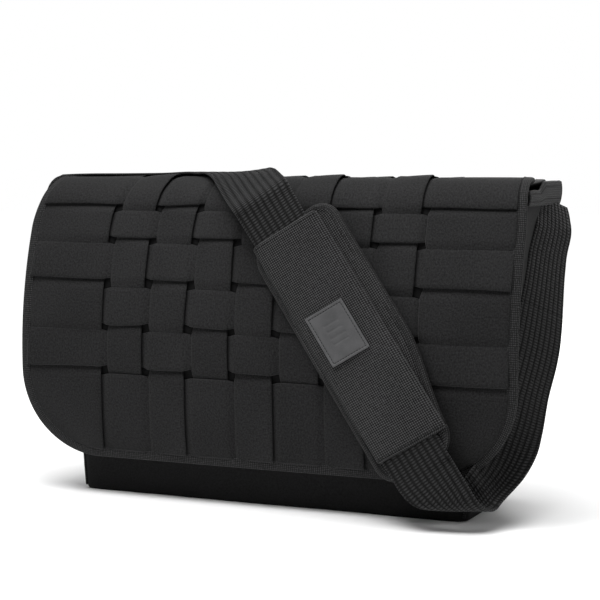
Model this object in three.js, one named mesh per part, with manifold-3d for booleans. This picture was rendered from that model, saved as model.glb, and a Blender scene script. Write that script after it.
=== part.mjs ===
// Messenger bag with a woven flap and a padded shoulder strap. Units are millimetres.
// +X is the bag's width, its front faces -Y, +Z is up, and it stands on z = 0.
import * as THREE from "three";
import { mergeVertices } from "three/addons/utils/BufferGeometryUtils.js";
import Module from "manifold-3d";

const wasm = await Module();
wasm.setup();

// Body: a tub that flares upwards and whose front leans back a little.
const bodyTop = 262;
const halfWidthBase = 172;
const halfWidthTop = 212;
const frontBase = -56;
const frontTop = -38;
const frontHeight = 248;
const rearY = 60;
const cloth = 2.4;
const gap = 0.35;

// Flap: measured along its surface from the hinge, over the lid and down the front.
const flapHalfWidth = 222;
const lidNarrowing = 16;
const lidStraight = 33;
const lidFlare = 66;
const flapCorner = 74;
const bindingWidth = 8;
const bindingHeight = 3.4;
const bindingGap = 1.2;
const hingeY = 40;
const hingeZ = 266;
const flapProfile = [
  [hingeY, hingeZ], [12, 264.5], [-12, 266], [-30, 268.5], [-44, 262], [-55, 247], [-68, 208],
  [-76, 170], [-79.5, 135], [-79.5, 100], [-78, 66], [-75, 33],
];

// Weave: narrow strips between two wide margins, numbered from the left and from the lid down.
const columnPitch = 39.8;
const columnWidth = 33.5;
const narrowColumns = 7;
const rowPitch = 36.5;
const rowHeight = 29;
const rowCount = 8;
const firstRow = -4;
const hingeMargin = 2.5;
const stripThickness = 1.2;
const liningThickness = 1.6;
const underLayer = 0.3;
const overLayer = 1.8;

// Strap: flat webbing that lies diagonally across the front, with a sliding shoulder pad.
const webbingWidth = 50;
const webbingThickness = 2.2;
const padCentre = new THREE.Vector3(87, -93, 142);
const padTilt = 0.108;
const padTurn = THREE.MathUtils.degToRad(35.5);
const padHalfWidth = 41;
const padHalfLength = 111;
const padShift = [5, 3];
const coverLeft = -28.5;
const coverRight = 34.5;
const coverHalfLength = 101;
const coverShift = -4;

const group = new THREE.Group();
group.name = "messenger_bag";

function cloths(colour, roughness = 0.9, metalness = 0) {
  return new THREE.MeshStandardMaterial({ color: colour, roughness, metalness });
}

const shellCloth = cloths(0x222224);
const weaveCloth = cloths(0x3a3a3d);
const tapeCloth = cloths(0x2c2c2e, 0.8);
const webbingCloth = cloths(0x2b2b2d, 0.8);
const padCloth = cloths(0x333336);
const liningCloth = cloths(0x55585c);
const leather = cloths(0x5b5b5e, 0.6);
const plastic = cloths(0x18181a, 0.45);
const boardPlastic = cloths(0x303030, 0.6);
const zipMetal = cloths(0x6c6c70, 0.35, 0.9);

function add(name, geometry, material) {
  const mesh = new THREE.Mesh(geometry, material);
  mesh.name = name;
  group.add(mesh);
}

/** Turn a closed body's triangles round if they face inwards. */
function faceOutward(geometry) {
  const index = geometry.index.array;
  const p = geometry.attributes.position;
  const corner = [new THREE.Vector3(), new THREE.Vector3(), new THREE.Vector3()];
  let volume = 0;
  for (let i = 0; i < index.length; i += 3) {
    corner.forEach((c, k) => c.fromBufferAttribute(p, index[i + k]));
    volume += corner[0].dot(corner[1].clone().cross(corner[2]));
  }
  if (volume < 0) {
    for (let i = 0; i < index.length; i += 3) {
      [index[i], index[i + 1]] = [index[i + 1], index[i]];
    }
  }
  geometry.computeVertexNormals();
  return geometry;
}

/** Move every vertex of a geometry by a function of its position. */
function bend(geometry, place) {
  const p = geometry.attributes.position;
  for (let i = 0; i < p.count; i += 1) {
    const moved = place(p.getX(i), p.getY(i), p.getZ(i));
    p.setXYZ(i, moved.x, moved.y, moved.z);
  }
  geometry.deleteAttribute("uv");
  geometry.deleteAttribute("normal");
  return faceOutward(mergeVertices(geometry, 1e-4));
}

/** A thin closed body laid through space by place(across 0-1, along 0-1, layer 0-1). */
function ribbon(across, along, place) {
  const box = new THREE.BoxGeometry(1, 1, 1, across, 1, along);
  return bend(box, (x, y, z) => place(x + 0.5, z + 0.5, y + 0.5));
}

/** Extrude a closed outline of [a, b] points from one depth to another. */
function slab(outline, from, to, holes = []) {
  const shape = new THREE.Shape(outline.map(([a, b]) => new THREE.Vector2(a, b)));
  holes.forEach((hole) => {
    shape.holes.push(new THREE.Path(hole.map(([a, b]) => new THREE.Vector2(a, b))));
  });
  const solid = new THREE.ExtrudeGeometry(shape, { depth: to - from, bevelEnabled: false });
  return solid.translate(0, 0, from);
}

function box(low, high) {
  const size = high.map((v, i) => v - low[i]);
  const solid = new THREE.BoxGeometry(...size);
  return solid.translate(...low.map((v, i) => v + size[i] / 2));
}

function roundedRectangle(halfWidth, halfLength, radius, steps = 5) {
  const centres = [[1, 1], [-1, 1], [-1, -1], [1, -1]];
  return centres.flatMap(([sx, sy], quarter) =>
    Array.from({ length: steps + 1 }, (_, i) => {
      const angle = (quarter + i / steps) * Math.PI / 2;
      const x = sx * (halfWidth - radius) + radius * Math.cos(angle);
      const y = sy * (halfLength - radius) + radius * Math.sin(angle);
      return [x, y];
    }));
}

function toManifold(geometry) {
  const bare = geometry.clone();
  bare.deleteAttribute("normal");
  bare.deleteAttribute("uv");
  const merged = mergeVertices(bare, 1e-4);
  return new wasm.Manifold(new wasm.Mesh({
    numProp: 3,
    vertProperties: new Float32Array(merged.attributes.position.array),
    triVerts: new Uint32Array(merged.index.array),
  }));
}

function fromManifold(solid) {
  const mesh = solid.getMesh();
  const geometry = new THREE.BufferGeometry();
  geometry.setAttribute("position", new THREE.BufferAttribute(mesh.vertProperties, 3));
  geometry.setIndex(new THREE.BufferAttribute(mesh.triVerts, 1));
  geometry.computeVertexNormals();
  return geometry;
}

function sideX(z) {
  return halfWidthBase + (halfWidthTop - halfWidthBase) * z / bodyTop;
}

function frontY(z) {
  return frontBase + (frontTop - frontBase) * z / frontHeight;
}

/** A panel on the front face: x across, z up, with its depth counted outwards from the front. */
function onFront(outline, from, to, holes = []) {
  return bend(slab(outline, from, to, holes), (x, z, out) =>
    new THREE.Vector3(x, frontY(z) - out, z));
}

/** A panel on a side face: depth counted outwards from the flared side. */
function onSide(side, outline, from, to) {
  return bend(slab(outline, from, to), (y, z, out) =>
    new THREE.Vector3(side * (sideX(z) + out), y, z));
}

function upright(outline, from, to) {
  return bend(slab(outline, from, to), (x, z, y) => new THREE.Vector3(x, y, z));
}

function wall(inset, low, high) {
  const bottom = sideX(low) - inset;
  const top = sideX(high) - inset;
  return [[-bottom, low], [bottom, low], [top, high], [-top, high]];
}

function bodyPanels() {
  const base = roundedRectangle(halfWidthBase - 1, (rearY - frontBase) / 2 - 1, 6);
  const centreY = (rearY + frontBase) / 2;
  add("bottom_panel", slab(base, 0, cloth).translate(0, centreY, 0), shellCloth);
  add("base_board", box([-160, -48, cloth + gap], [160, 46, 4.8]), boardPlastic);

  const low = cloth + gap;
  add("front_panel", onFront(wall(cloth + gap, low, frontHeight), -cloth, 0), shellCloth);
  add("back_panel", upright(wall(cloth + gap, low, bodyTop), rearY - cloth, rearY), shellCloth);
  add("back_padding", upright(wall(9, 8, 254), 51, rearY - cloth - gap), padCloth);
  [["left", -1], ["right", 1]].forEach(([name, side]) => {
    const outline = [
      [frontY(low), low], [rearY, low], [rearY, bodyTop], [frontY(bodyTop), bodyTop],
    ];
    add(`gusset_${name}`, onSide(side, outline, -cloth, 0), shellCloth);
    const hem = [[-34, 246], [rearY, 246], [rearY, 266], [12, 266], [0, 260], [-34, 258]];
    add(`gusset_hem_${name}`, onSide(side, hem, gap, 2.2), tapeCloth);
    const patch = [[12, 205], [58, 205], [58, 240], [12, 240]];
    add(`anchor_patch_${name}`, onSide(side, patch, gap, 1.7), tapeCloth);
  });
  const frontHem = wall(6, frontHeight - 14, frontHeight + 0.8);
  add("front_hem", onFront(frontHem, gap, 1.6), tapeCloth);
}

/** The lining is a thin tub just inside the panels, over the base board. */
function lining() {
  const tub = (inset, low, high) => bend(new THREE.BoxGeometry(2, 2, 1), (x, y, z) => {
    const height = z < 0 ? low : high;
    const front = frontY(height) + inset;
    const rear = 51 - gap - (inset - cloth - gap);
    return new THREE.Vector3(x * (sideX(height) - inset), y < 0 ? front : rear, height);
  });
  const outer = toManifold(tub(cloth + gap, 5.2, frontHeight - 4));
  const inner = toManifold(tub(cloth + gap + 0.9, 6.1, frontHeight + 4));
  add("lining", fromManifold(outer.subtract(inner)), liningCloth);
}

function laptopSleeve() {
  const half = 158;
  const outline = [
    [-half, 49], [-half, 36], [half, 36], [half, 49],
    [half - 4, 49], [half - 4, 40], [-half + 4, 40], [-half + 4, 49],
  ];
  add("laptop_sleeve", slab(outline, 8, 196), padCloth);
}

function frontPocket() {
  const half = 120;
  const low = 40;
  const high = 166;
  const face = -71;
  const fabric = 1.6;
  add("pocket_front", upright(
    [[-half, low], [half, low], [half, high], [-half, high]], face, face + fabric), shellCloth);
  const bellows = [
    [-half, high], [-half, low], [half, low], [half, high],
    [half - fabric, high], [half - fabric, low + fabric],
    [fabric - half, low + fabric], [fabric - half, high],
  ];
  add("pocket_gusset", bend(slab(bellows, 0, 1), (x, z, depth) => {
    const rear = frontY(z) - gap;
    return new THREE.Vector3(x, depth > 0.5 ? rear : face + fabric + gap, z);
  }), shellCloth);
  add("pocket_hem", box([-half, face - 1.5, high - 14], [half, face - gap, high]), tapeCloth);
  [["left", -1], ["right", 1]].forEach(([name, side]) => {
    const inner = side * 40;
    const outer = side * 100;
    const [from, to] = [Math.min(inner, outer), Math.max(inner, outer)];
    add(`loop_patch_${name}`, box([from, face - 1.8, 60], [to, face - gap, 110]), tapeCloth);
  });
}

function zip() {
  const z = 203;
  const rectangle = (halfLength, halfHeight) => [
    [-halfLength, z - halfHeight], [halfLength, z - halfHeight],
    [halfLength, z + halfHeight], [-halfLength, z + halfHeight],
  ];
  add("zip_tape", onFront(rectangle(128, 13), gap, 1.1), tapeCloth);
  add("zip_chain", onFront(rectangle(121, 3), 1.1 + gap, 2.9), zipMetal);
  const sliderX = -108;
  const sliderBody = [
    [sliderX - 5, z - 4.5], [sliderX + 5, z - 4.5], [sliderX + 3.5, z + 4.5],
    [sliderX - 3.5, z + 4.5],
  ];
  add("zip_slider", onFront(sliderBody, 2.9 + gap, 5.6), zipMetal);
  const pull = [
    [sliderX - 3.5, z - 14], [sliderX + 3.5, z - 14], [sliderX + 2.5, z + 1],
    [sliderX - 2.5, z + 1],
  ];
  add("zip_pull", onFront(pull, 5.6 + gap, 7.2), zipMetal);
}

function rearYoke() {
  const outline = [
    [hingeY + 1.5, 263.4], [rearY + 0.4, 263.4], [rearY + 0.4, 226], [rearY + 2, 226],
    [rearY + 2, 262], [rearY - 1, 265.4], [hingeY + 1.5, 265.4],
  ];
  const half = 208;
  add("rear_yoke", bend(slab(outline, -half, half), (y, z, x) =>
    new THREE.Vector3(x, y, z)), shellCloth);
}

// The flap is laid out flat as (x, distance from the hinge, height) and wrapped on its profile.
const flapCurve = new THREE.SplineCurve(flapProfile.map(([y, z]) => new THREE.Vector2(y, z)));
const flapLength = flapCurve.getLength();
const rowLines = Array.from({ length: rowCount }, (_, row) => firstRow + row * rowPitch);
const rowStarts = rowLines.map((line) => Math.max(hingeMargin, line));
const hemLine = flapLength - bindingWidth;

function rowEnd(row) {
  return row === rowCount - 1 ? hemLine - gap : rowLines[row] + rowHeight;
}

/** Every line across the flap at which its layers may fold; all the layers share them. */
function foldLines() {
  const lines = [0];
  rowStarts.forEach((start, row) => {
    const steps = 3;
    for (let i = 0; i <= steps; i += 1) {
      lines.push(start + (rowEnd(row) - start) * i / steps);
    }
  });
  const corner = 5;
  for (let i = 1; i < corner; i += 1) {
    const angle = i / corner * Math.PI / 2;
    lines.push(flapLength - flapCorner + flapCorner * Math.sin(angle));
  }
  lines.push(hemLine, flapLength);
  lines.sort((a, b) => a - b);
  return lines.filter((line, i) => i === 0 || line - lines[i - 1] > 1);
}

const sharedLines = foldLines();

function linesBetween(from, to) {
  const inside = sharedLines.filter((line) => line > from + 1 && line < to - 1);
  return [from, ...inside, to];
}

/** Where a point of the flat flap lies in space, between two shared fold lines. */
function onFlap(x, along, height) {
  const exact = (distance) => {
    const u = THREE.MathUtils.clamp(distance / flapLength, 0, 1);
    const point = flapCurve.getPointAt(u);
    const tangent = flapCurve.getTangentAt(u);
    const normal = new THREE.Vector2(tangent.y, -tangent.x);
    return point.addScaledVector(normal, height);
  };
  const next = sharedLines.findIndex((line) => line >= along - 1e-6);
  const end = sharedLines[Math.max(next, 1)];
  const start = sharedLines[Math.max(next, 1) - 1];
  const point = exact(start).lerp(exact(end), (along - start) / (end - start));
  return new THREE.Vector3(x, point.x, point.y);
}

/** Half of the flap's width: narrow between the gussets, then wide, with rounded corners. */
function flapEdge(along, inset = 0) {
  const radius = flapCorner - inset;
  const past = along - (flapLength - flapCorner);
  if (past <= 0) {
    const widened = THREE.MathUtils.smoothstep(along, lidStraight, lidFlare);
    return flapHalfWidth - lidNarrowing * (1 - widened) - inset;
  }
  const drop = Math.min(past, radius);
  return flapHalfWidth - flapCorner + Math.sqrt(radius * radius - drop * drop);
}

function columnSpan(column, along) {
  const edge = flapEdge(along, bindingWidth + bindingGap);
  const inner = (narrowColumns / 2) * columnPitch + (columnPitch - columnWidth) / 2;
  if (column === 0) {
    return [-edge, -inner];
  }
  if (column === narrowColumns + 1) {
    return [inner, edge];
  }
  const centre = (column - (narrowColumns + 1) / 2) * columnPitch;
  return [centre - columnWidth / 2, centre + columnWidth / 2];
}

/** Strips that run across lie over the others where row and column are both odd or both even. */
function acrossIsOver(row, column) {
  return (row + column) % 2 === 0;
}

function flapLining() {
  const lines = linesBetween(0.6, hemLine - gap);
  add("flap_lining", ribbon(1, lines.length - 1, (across, t, layer) => {
    const along = lines[Math.round(t * (lines.length - 1))];
    const edge = flapEdge(along, bindingWidth + bindingGap);
    return onFlap((2 * across - 1) * edge, along, -liningThickness * (1 - layer));
  }), shellCloth);
}

function downStrip(column) {
  const lines = linesBetween(0.6, hemLine - gap);
  const layerAt = (along) => {
    const row = rowStarts.findIndex((start, i) => along > start - 0.1 && along < rowEnd(i) + 0.1);
    if (row < 0) {
      return column % 2 === 0 ? overLayer : underLayer;
    }
    return acrossIsOver(row, column) ? underLayer : overLayer;
  };
  return ribbon(1, lines.length - 1, (across, t, layer) => {
    const along = lines[Math.round(t * (lines.length - 1))];
    const [from, to] = columnSpan(column, along);
    const height = layerAt(along) + layer * stripThickness;
    return onFlap(from + across * (to - from), along, height);
  });
}

function acrossStrip(row) {
  const columns = Array.from({ length: narrowColumns + 2 }, (_, i) => i);
  const lines = linesBetween(rowStarts[row], rowEnd(row));
  return ribbon(2 * columns.length - 1, lines.length - 1, (across, t, layer) => {
    const along = lines[Math.round(t * (lines.length - 1))];
    const station = Math.round(across * (2 * columns.length - 1));
    const column = Math.floor(station / 2);
    const x = columnSpan(column, along)[station % 2];
    const base = acrossIsOver(row, column) ? overLayer : underLayer;
    return onFlap(x, along, base + layer * stripThickness);
  });
}

/** The tape round the flap's three free edges, from one end of the hinge to the other. */
function flapBinding() {
  const straight = linesBetween(0.6, flapLength - flapCorner);
  const steps = 6;
  const path = straight.map((along) => [flapEdge(along), along, 0]);
  for (let i = 1; i <= steps; i += 1) {
    const angle = i / steps * Math.PI / 2;
    const x = flapHalfWidth - flapCorner + flapCorner * Math.cos(angle);
    path.push([x, flapLength - flapCorner + flapCorner * Math.sin(angle), angle]);
  }
  const mirrored = path.map(([x, along, angle]) => [-x, along, Math.PI - angle]).reverse();
  const stations = [...path, ...mirrored];
  return ribbon(1, stations.length - 1, (across, t, layer) => {
    const [x, along, angle] = stations[Math.round(t * (stations.length - 1))];
    const inward = bindingWidth * (1 - across);
    const height = -liningThickness + layer * (bindingHeight + liningThickness);
    return onFlap(x - inward * Math.cos(angle), along - inward * Math.sin(angle), height);
  });
}

function flapPatch(from, to) {
  const lines = linesBetween(flapLength - 82, flapLength - 34);
  return ribbon(1, lines.length - 1, (across, t, layer) => {
    const along = lines[Math.round(t * (lines.length - 1))];
    return onFlap(from + across * (to - from), along, -3.2 + layer * 1.3);
  });
}

function flap() {
  flapLining();
  for (let column = 0; column <= narrowColumns + 1; column += 1) {
    add(`weave_strip_down_${column + 1}`, downStrip(column), weaveCloth);
  }
  for (let row = 0; row < rowCount; row += 1) {
    add(`weave_strip_across_${row + 1}`, acrossStrip(row), weaveCloth);
  }
  add("flap_binding", flapBinding(), tapeCloth);
  add("hook_patch_left", flapPatch(-95, -45), tapeCloth);
  add("hook_patch_right", flapPatch(45, 95), tapeCloth);
}

// The pad's own axes: along points down the strap, across to its upper right, out to the viewer.
const slope = new THREE.Vector3(0, -padTilt, -1).normalize();
const padAlong = new THREE.Vector3(Math.sin(padTurn), 0, 0)
  .addScaledVector(slope, Math.cos(padTurn));
const padAcross = new THREE.Vector3(Math.cos(padTurn), 0, 0)
  .addScaledVector(slope, -Math.sin(padTurn));
const padOut = padAlong.clone().cross(padAcross);

function onPad(across, along, out) {
  return padCentre.clone()
    .addScaledVector(padAcross, across)
    .addScaledVector(padAlong, along)
    .addScaledVector(padOut, out);
}

/** Centre line of the webbing, from the left anchor to the right one, with its width direction. */
function webbingStations() {
  const leftLoop = [
    [[-217, 40, 252], [0, 1, 0]],
    [[-219, 40, 234], [0, 1, 0]],
    [[-225.5, 40, 211], [0, 1, 0]],
    [[-235, 40.5, 196], [0, 1, 0]],
    [[-245, 40, 193], [0, 1, 0]],
    [[-256, 38.5, 202], [0, 1, 0]],
    [[-257.5, 38.2, 218], [0, 1, 0]],
    [[-254.5, 38.2, 234], [0, 1, 0]],
    [[-251.5, 38, 250], [0, 1, 0]],
    [[-246, 33, 264], [0.15, 1, 0]],
    [[-236, 20, 271], [0.3, 1, 0]],
  ];
  const lid = [
    [[-222, 9, 272.5], [0.25, 1, 0]],
    [[-190, 7, 272.5], [0.2, 1, 0]],
    [[-150, 5, 272], [0.25, 1, 0]],
    [[-105, 2, 272], [0.45, 0.9, 0]],
    [[-72, -8, 272], [0.75, 0.66, 0]],
    [[-57, -16, 272.5], [0.8, 0.6, 0.1]],
    [[-44, -26, 273], [0.81, 0.5, 0.25]],
    [[-33, -36, 272], [0.81, 0.41, 0.41]],
    [[-22, -48, 268], [0.81, 0.3, 0.5]],
    [[-8, -64, 261], [0.81, 0.2, 0.54]],
  ];
  const front = [-138, -128, -60, 0, 60, 128, 138].map((along) => [
    onPad(0, along, 0).toArray(), padAcross.toArray(),
  ]);
  const rightLoop = [
    [[175, -101, 20.5], [0.81, -0.25, 0.41]],
    [[184, -90, 15.5], [0.81, -0.3, 0.1]],
    [[193, -74, 19], [0.81, -0.1, -0.41]],
    [[199, -60, 30], [0.8, 0.1, -0.55]],
    [[204, -46, 48], [0.7, 0.4, -0.5]],
    [[208, -34, 70], [0.58, 0.7, -0.35]],
    [[210.5, -24, 95], [0.5, 0.84, -0.2]],
    [[214.5, -8, 136], [0.47, 0.88, -0.05]],
    [[219, 7, 172], [0.42, 0.91, 0]],
    [[223.5, 22, 207], [0.25, 0.97, 0]],
    [[221.5, 33.5, 232], [0.18, 0.98, 0]],
    [[218.5, 38, 252], [0.05, 1, 0]],
  ];
  return [...leftLoop, ...lid, ...front, ...rightLoop];
}

/** Push a point that is near the flap out until it has a clearance from the flap's surface. */
function clearOfFlap(point, clearance) {
  const samples = 160;
  let nearest = 8;
  let lift = new THREE.Vector2();
  for (let i = 0; i <= samples; i += 1) {
    const surface = flapCurve.getPointAt(i / samples);
    const tangent = flapCurve.getTangentAt(i / samples);
    const normal = new THREE.Vector2(tangent.y, -tangent.x);
    const offset = new THREE.Vector2(point.y, point.z).sub(surface);
    if (offset.length() < nearest) {
      nearest = offset.length();
      lift = normal.multiplyScalar(Math.max(0, clearance - offset.dot(normal)));
    }
  }
  return new THREE.Vector3(point.x, point.y + lift.x, point.z + lift.y);
}

function webbing() {
  const stations = webbingStations();
  const curveThrough = (pick) => new THREE.CatmullRomCurve3(
    stations.map((s) => new THREE.Vector3(...s[pick])), false, "centripetal");
  const centre = curveThrough(0);
  const widths = curveThrough(1);
  const steps = (stations.length - 1) * 2;
  return ribbon(4, steps, (across, t, layer) => {
    const along = centre.getTangent(t);
    const width = widths.getPoint(t);
    width.addScaledVector(along, -width.dot(along)).normalize();
    const out = along.clone().cross(width);
    const point = centre.getPoint(t)
      .addScaledVector(width, (across - 0.5) * webbingWidth)
      .addScaledVector(out, (layer - 0.5) * webbingThickness);
    const overFlap = Math.abs(point.x) < flapHalfWidth + 3;
    const clearance = bindingHeight + 1.1 + layer * webbingThickness;
    return overFlap ? clearOfFlap(point, clearance) : point;
  });
}

function padPiece(outline, from, to, holes = []) {
  return bend(slab(outline, from, to, holes), onPad);
}

/** The cover bridges the webbing: a plate with two feet that stand on the padded base. */
function padCover() {
  const innerLeft = -webbingWidth / 2 - 2 * gap;
  const innerRight = coverRight - 5;
  const clearance = webbingThickness / 2 + gap;
  const outline = [
    [coverLeft, -clearance + 0.3], [innerLeft, -clearance + 0.3],
    [innerLeft, clearance], [innerRight, clearance],
    [innerRight, -clearance + 0.3], [coverRight, -clearance + 0.3],
    [coverRight, clearance + 2.4], [coverLeft, clearance + 2.4],
  ];
  const ends = [coverShift - coverHalfLength, coverShift + coverHalfLength];
  return bend(slab(outline, ...ends), (across, out, along) => onPad(across, along, out));
}

function strap() {
  add("shoulder_webbing", webbing(), webbingCloth);
  const outline = (inset) =>
    roundedRectangle(padHalfWidth - inset, padHalfLength - inset, 16 - inset)
      .map(([across, along]) => [across + padShift[0], along + padShift[1]]);
  const top = -webbingThickness / 2 - gap;
  add("pad_base", padPiece(outline(3 + gap), top - 6.6, top), padCloth);
  add("pad_binding", padPiece(outline(0), top - 6.8, top, [outline(3)]), tapeCloth);
  add("pad_cover", padCover(), padCloth);
  const coverTop = webbingThickness / 2 + gap + 2.4;
  const patch = roundedRectangle(17.5, 22.5, 3).map(([across, along]) => [across - 1, along - 9]);
  add("strap_patch", padPiece(patch, coverTop + gap, coverTop + 2.2), leather);
}

/** A cam buckle: a frame the webbing runs through, with a lever hinged at its upper edge. */
function buckle() {
  const place = (x, y, z) => new THREE.Vector3(x, y, z)
    .applyAxisAngle(new THREE.Vector3(0, 1, 0), THREE.MathUtils.degToRad(9))
    .add(new THREE.Vector3(-255.1, 38.2, 230));
  const rectangle = (halfX, halfY) => [
    [-halfX, -halfY], [halfX, -halfY], [halfX, halfY], [-halfX, halfY],
  ];
  const frame = slab(rectangle(4.6, 30), -17, 17, [rectangle(2.3, 26)]);
  add("buckle_frame", bend(frame, place), plastic);
  const lever = slab([[-8, -16], [-5, -19], [-5, 15], [-8, 15]], -22, 22);
  add("buckle_lever", bend(lever, (x, z, y) => place(x, y, z)), plastic);
}

bodyPanels();
lining();
laptopSleeve();
frontPocket();
zip();
rearYoke();
flap();
strap();
buckle();

export default group;
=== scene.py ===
import math

import bpy
import numpy as np
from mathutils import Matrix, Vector


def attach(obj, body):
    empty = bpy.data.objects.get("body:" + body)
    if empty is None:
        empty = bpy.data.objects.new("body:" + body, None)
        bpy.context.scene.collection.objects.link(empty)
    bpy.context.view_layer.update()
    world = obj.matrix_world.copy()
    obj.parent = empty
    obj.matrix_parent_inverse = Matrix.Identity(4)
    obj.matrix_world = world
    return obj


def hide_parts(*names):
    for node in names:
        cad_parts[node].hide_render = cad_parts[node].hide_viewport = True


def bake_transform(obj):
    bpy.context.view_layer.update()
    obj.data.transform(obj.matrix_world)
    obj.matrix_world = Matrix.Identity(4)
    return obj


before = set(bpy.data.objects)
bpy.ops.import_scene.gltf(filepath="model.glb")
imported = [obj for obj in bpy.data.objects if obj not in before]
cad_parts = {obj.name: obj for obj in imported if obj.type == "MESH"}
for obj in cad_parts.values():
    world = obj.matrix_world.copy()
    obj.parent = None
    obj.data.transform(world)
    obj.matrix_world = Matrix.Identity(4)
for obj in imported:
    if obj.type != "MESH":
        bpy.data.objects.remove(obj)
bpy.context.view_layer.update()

MM = 0.001
rng = np.random.default_rng(7)

# Driving dimensions, in millimetres. This first group is the CAD part's own.
BODY_TOP = 262
FRONT_HEIGHT = 248
REAR_Y = 60
FLAP_HALF = 222
FLAP_CORNER = 74
LID_NARROWING = 16
LID_STRAIGHT = 33
LID_FLARE = 66
BINDING = 8
COLUMN_PITCH = 39.8
NARROW_COLUMNS = 7
ROW_PITCH = 36.5
ROW_COUNT = 8
FIRST_ROW = -4
PAD_CENTRE = np.array([87.0, -93.0, 142.0])
PAD_TILT = 0.108
PAD_TURN = math.radians(35.5)
PAD_HALF_WIDTH = 41
PAD_HALF_LENGTH = 111
PAD_SHIFT = (5, 3)
COVER_LEFT = -28.5
COVER_RIGHT = 34.5
COVER_HALF_LENGTH = 101
COVER_SHIFT = -4
PATCH_HALF_WIDTH = 17.5
PATCH_HALF_LENGTH = 22.5
WEBBING_WIDTH = 50

# The soft shape of the body and the flap, which the rigid CAD solids only stand near.
LEFT_SLUMP = 5
YOKE_HALF = 208
FLAP_PROFILE = [
    (40, 265.5), (12, 262.5), (-12, 264.5), (-30, 267.2), (-44, 261), (-55, 247), (-68, 208),
    (-76, 170), (-79.5, 135), (-79.5, 100), (-78, 66), (-75, 33),
]
FLAP_START = 0.8
CREST_DRAWN_IN = 0.039
CREST_SHIFT = 2.9

# The weave: strips a little narrower than the CAD's, which widen where they lie on top.
COLUMN_WIDTH = 31.5
ROW_HEIGHT = 28.0
CREST_ROW = 2
TAPE_OVERLAP = 1.5
UNDER = 0.6
OVER = 3.4
OVER_WEAVE = 5.7

# The webbing: rows are steps along it, heights are above the floor, and from ROLL_START to
# ROLL_END, measured along the pad's line, it rolls under itself near the floor.
WEBBING_RIBS = 9
UPPER_ROWS = 300
LOOP_ROWS = 80
END_HEIGHT = 165
ROLL_LOW = 17.5
ROLL_START = 118
ROLL_END = 188

# How much of the backdrop's brightness reaches the bag.
AMBIENT = 0.09


def add_camera():
    """A view that looks slightly down from the front right, level with the top of the bag."""
    data = bpy.data.cameras.new("camera")
    data.sensor_width = 36
    data.lens = 101.8
    camera = bpy.data.objects.new("camera", data)
    bpy.context.scene.collection.objects.link(camera)
    camera.location = (0.609, -1.2976, 0.275)
    camera.rotation_euler = (math.radians(90 - 4.37), 0, math.radians(25))
    bpy.context.scene.camera = camera


add_camera()


# ---------------------------------------------------------------- materials

class Nodes:
    """A small helper for building a node material."""

    def __init__(self, name, colour, roughness, metallic=0.0, specular=0.3):
        self.material = bpy.data.materials.new(name)
        self.material.use_nodes = True
        self.tree = self.material.node_tree
        self.shader = self.tree.nodes["Principled BSDF"]
        self.shader.inputs["Base Color"].default_value = (*colour, 1)
        self.shader.inputs["Roughness"].default_value = roughness
        self.shader.inputs["Metallic"].default_value = metallic
        self.shader.inputs["Specular IOR Level"].default_value = specular
        self.colour = colour

    def add(self, kind, **values):
        node = self.tree.nodes.new(kind)
        for key, value in values.items():
            if key in node.inputs:
                node.inputs[key].default_value = value
            else:
                setattr(node, key, value)
        return node

    def link(self, source, target):
        self.tree.links.new(source, target)

    def math(self, operation, a, b=0.0, c=0.0):
        node = self.tree.nodes.new("ShaderNodeMath")
        node.operation = operation
        for socket, value in zip(node.inputs, (a, b, c)):
            if isinstance(value, (int, float)):
                socket.default_value = value
            else:
                self.link(value, socket)
        return node.outputs[0]

    def coordinates(self, use_uv):
        source = self.add("ShaderNodeTexCoord").outputs["UV" if use_uv else "Object"]
        split = self.add("ShaderNodeSeparateXYZ")
        self.link(source, split.inputs[0])
        return source, split.outputs

    def noise(self, vector, scale, detail=2.0, roughness=0.5):
        node = self.add("ShaderNodeTexNoise", Scale=scale, Detail=detail, Roughness=roughness)
        self.link(vector, node.inputs["Vector"])
        return node.outputs["Fac"]

    def ramp(self, factor, stops):
        node = self.tree.nodes.new("ShaderNodeValToRGB")
        while len(node.color_ramp.elements) < len(stops):
            node.color_ramp.elements.new(0.5)
        for element, (place, colour) in zip(node.color_ramp.elements, stops):
            element.position = place
            element.color = (*colour, 1)
        self.link(factor, node.inputs["Fac"])
        return node.outputs["Color"]

    def bump(self, height, strength, distance):
        node = self.add("ShaderNodeBump", Strength=strength, Distance=distance)
        self.link(height, node.inputs["Height"])
        self.link(node.outputs["Normal"], self.shader.inputs["Normal"])

    def sheen(self, weight):
        self.shader.inputs["Sheen Weight"].default_value = weight
        self.shader.inputs["Sheen Roughness"].default_value = 0.5


def shade(colour, factor):
    return tuple(channel * factor for channel in colour)


def thread_height(nodes, axes, pitch):
    """Plain weave of round threads: a product of waves with alternating crossings."""
    along = nodes.math("MULTIPLY", axes[0], math.pi / pitch)
    across = nodes.math("MULTIPLY", axes[1], math.pi / pitch)
    wave = nodes.math("MULTIPLY", nodes.math("SINE", along), nodes.math("SINE", across))
    return nodes.math("ABSOLUTE", wave)


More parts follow.
